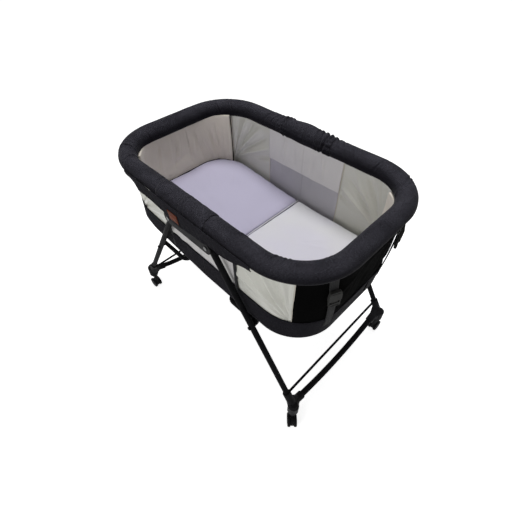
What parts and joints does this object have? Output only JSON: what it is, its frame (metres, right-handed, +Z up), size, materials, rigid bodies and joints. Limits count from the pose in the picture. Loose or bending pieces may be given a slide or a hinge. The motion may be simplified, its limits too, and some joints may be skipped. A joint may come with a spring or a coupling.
{
  "type": "bassinet on stand",
  "caption": "Padded oval-cornered fabric bassinet with side windows on a folding tube stand with bowed rockers and twin-wheel casters.",
  "frame": {"origin": "on the floor, under the middle of the top rail", "axes": "+X along the length towards the foot end with the black end panel, +Y to the far side, +Z up"},
  "size_m": [0.9782, 0.6222, 0.8045],
  "materials": {
    "rail_fabric": "charcoal melange woven cover over foam",
    "black_fabric": "black woven polyester",
    "beige_lining": "quilted soft lining",
    "satin_fabric": "light grey satin-faced fabric",
    "window_mesh": "fine breathable mesh",
    "mattress_cover": "soft white cotton cover",
    "webbing": "dark grey webbing",
    "tan_leather": "smooth plain leather",
    "black_tube": "black powder-coated steel tube",
    "stand_plastic": "black moulded nylon",
    "button_plastic": "dark grey moulded plastic",
    "wheel_plastic": "black hard plastic tread",
    "steel_pin": "steel rivet",
    "base_panel": "stiff panel in a black cover"
  },
  "bodies": {
    "hub_frame": {"hub_near": "stand_plastic", "hub_far": "stand_plastic", "pivot_pins": "steel_pin", "mattress_seam": "mattress_cover", "sleeve_left": "rail_fabric", "sleeve_right": "rail_fabric"},
    "button_near_body": {"button_near": "button_plastic"},
    "button_far_body": {"button_far": "button_plastic"},
    "rail_left": {"rail_tube_left": "black_tube", "rail_pad_left": "rail_fabric", "end_wall_left": "beige_lining", "corner_wall_near_left": "satin_fabric", "corner_wall_far_left": "satin_fabric", "window_near_left": "window_mesh", "window_far_left": "window_mesh", "band_left": "rail_fabric", "valance_near_left": "rail_fabric", "valance_far_left": "rail_fabric", "straps_left": "webbing", "buckles_left": "button_plastic", "leather_tag": "tan_leather"},
    "base_left": {"base_board_left": "base_panel", "mattress_left": "mattress_cover"},
    "legs_left": {"leg_near_left": "black_tube", "leg_far_left": "black_tube", "bracket_near_left": "stand_plastic", "bracket_far_left": "stand_plastic", "rocker_tube_left": "black_tube", "brace_rod_left": "black_tube", "hoop_left": "black_tube"},
    "swivel_near_left": {"caster_near_left": "stand_plastic"},
    "wheel_near_left": {"wheels_near_left": "wheel_plastic"},
    "swivel_far_left": {"caster_far_left": "stand_plastic"},
    "wheel_far_left": {"wheels_far_left": "wheel_plastic"},
    "rail_right": {"rail_tube_right": "black_tube", "rail_pad_right": "rail_fabric", "end_wall_right": "black_fabric", "corner_wall_near_right": "satin_fabric", "corner_wall_far_right": "satin_fabric", "window_near_right": "window_mesh", "window_far_right": "window_mesh", "band_right": "rail_fabric", "valance_near_right": "rail_fabric", "valance_far_right": "rail_fabric", "straps_right": "webbing", "buckles_right": "button_plastic"},
    "base_right": {"base_board_right": "base_panel", "mattress_right": "mattress_cover"},
    "legs_right": {"leg_near_right": "black_tube", "leg_far_right": "black_tube", "bracket_near_right": "stand_plastic", "bracket_far_right": "stand_plastic", "rocker_tube_right": "black_tube", "brace_rod_right": "black_tube", "hoop_right": "black_tube"},
    "swivel_near_right": {"caster_near_right": "stand_plastic"},
    "wheel_near_right": {"wheels_near_right": "wheel_plastic"},
    "swivel_far_right": {"caster_far_right": "stand_plastic"},
    "wheel_far_right": {"wheels_far_right": "wheel_plastic"}
  },
  "joints": [
    {"name": "rail_fold_right", "type": "hinge", "parent": "hub_frame", "child": "rail_right", "pos_m": [0.028, 0, 0.771], "axis": [0, -1, 0], "range_deg": [0, 80], "deforming": ["end_wall_right", "corner_wall_near_right", "corner_wall_far_right", "window_near_right", "window_far_right", "band_right", "valance_near_right", "valance_far_right", "straps_right", "sleeve_right"]},
    {"name": "base_fold_right", "type": "hinge", "parent": "hub_frame", "child": "base_right", "pos_m": [0, 0, 0.51], "axis": [0, -1, 0], "range_deg": [0, 80]},
    {"name": "leg_fold_right", "type": "hinge", "parent": "hub_frame", "child": "legs_right", "pos_m": [0.092, 0, 0.686], "axis": [0, 1, 0], "range_deg": [0, 24]},
    {"name": "rail_fold_left", "type": "hinge", "parent": "hub_frame", "child": "rail_left", "pos_m": [-0.028, 0, 0.771], "axis": [0, 1, 0], "range_deg": [0, 80], "deforming": ["end_wall_left", "corner_wall_near_left", "corner_wall_far_left", "window_near_left", "window_far_left", "band_left", "valance_near_left", "valance_far_left", "straps_left", "sleeve_left"]},
    {"name": "base_fold_left", "type": "hinge", "parent": "hub_frame", "child": "base_left", "pos_m": [0, 0, 0.51], "axis": [0, 1, 0], "range_deg": [-5.5, 74.5]},
    {"name": "leg_fold_left", "type": "hinge", "parent": "hub_frame", "child": "legs_left", "pos_m": [-0.092, 0, 0.686], "axis": [0, -1, 0], "range_deg": [0, 24]},
    {"name": "button_press_near", "type": "slide", "parent": "hub_frame", "child": "button_near_body", "axis": [0, 1, 0], "range_m": [0, 0.0035], "stiffness_N_per_m": 500},
    {"name": "button_press_far", "type": "slide", "parent": "hub_frame", "child": "button_far_body", "axis": [0, -1, 0], "range_m": [0, 0.0035], "stiffness_N_per_m": 500},
    {"name": "swivel_near_right", "type": "hinge", "parent": "legs_right", "child": "swivel_near_right", "pos_m": [0.452, -0.274, 0.1], "axis": [0, 0, 1], "continuous": true},
    {"name": "wheel_spin_near_right", "type": "hinge", "parent": "swivel_near_right", "child": "wheel_near_right", "pos_m": [0.46049, -0.28249, 0.025], "axis": [0.7071, 0.7071, 0], "continuous": true},
    {"name": "swivel_near_left", "type": "hinge", "parent": "legs_left", "child": "swivel_near_left", "pos_m": [-0.452, -0.274, 0.1], "axis": [0, 0, 1], "continuous": true},
    {"name": "wheel_spin_near_left", "type": "hinge", "parent": "swivel_near_left", "child": "wheel_near_left", "pos_m": [-0.464, -0.274, 0.025], "axis": [0, -1, 0], "continuous": true},
    {"name": "swivel_far_right", "type": "hinge", "parent": "legs_right", "child": "swivel_far_right", "pos_m": [0.452, 0.274, 0.1], "axis": [0, 0, 1], "continuous": true},
    {"name": "wheel_spin_far_right", "type": "hinge", "parent": "swivel_far_right", "child": "wheel_far_right", "pos_m": [0.452, 0.286, 0.025], "axis": [-1, 0, 0], "continuous": true},
    {"name": "swivel_far_left", "type": "hinge", "parent": "legs_left", "child": "swivel_far_left", "pos_m": [-0.452, 0.274, 0.1], "axis": [0, 0, 1], "continuous": true},
    {"name": "wheel_spin_far_left", "type": "hinge", "parent": "swivel_far_left", "child": "wheel_far_left", "pos_m": [-0.46049, 0.28249, 0.025], "axis": [-0.7071, -0.7071, 0], "continuous": true}
  ]
}
